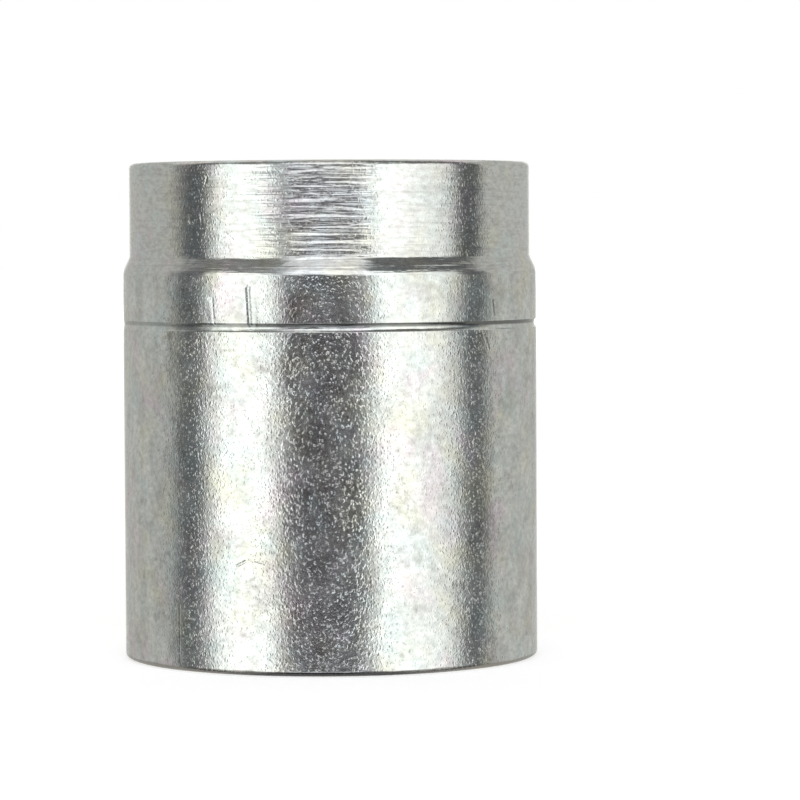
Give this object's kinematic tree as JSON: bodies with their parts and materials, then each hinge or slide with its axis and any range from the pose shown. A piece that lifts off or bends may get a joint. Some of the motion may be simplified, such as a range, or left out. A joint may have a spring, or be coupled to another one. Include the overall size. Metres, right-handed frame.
{
  "type": "crimp hose ferrule",
  "caption": "Turned zinc plated steel sleeve to crimp over a hydraulic hose, with gripping teeth in its bore, a marking groove and a stepped collar with an inner lip for the stem.",
  "frame": {"origin": "centre of the open hose end face, which the ferrule stands on", "axes": "+Z along the ferrule's axis, from the hose end to the collar; X and Y are free, because the form is turned"},
  "size_m": [0.031, 0.031, 0.037],
  "materials": {
    "zinc_plated_steel": "bright zinc plating with a clear blue passivate over turned and fine-grained steel"
  },
  "bodies": {
    "root": {"ferrule": "zinc_plated_steel"}
  },
  "joints": []
}
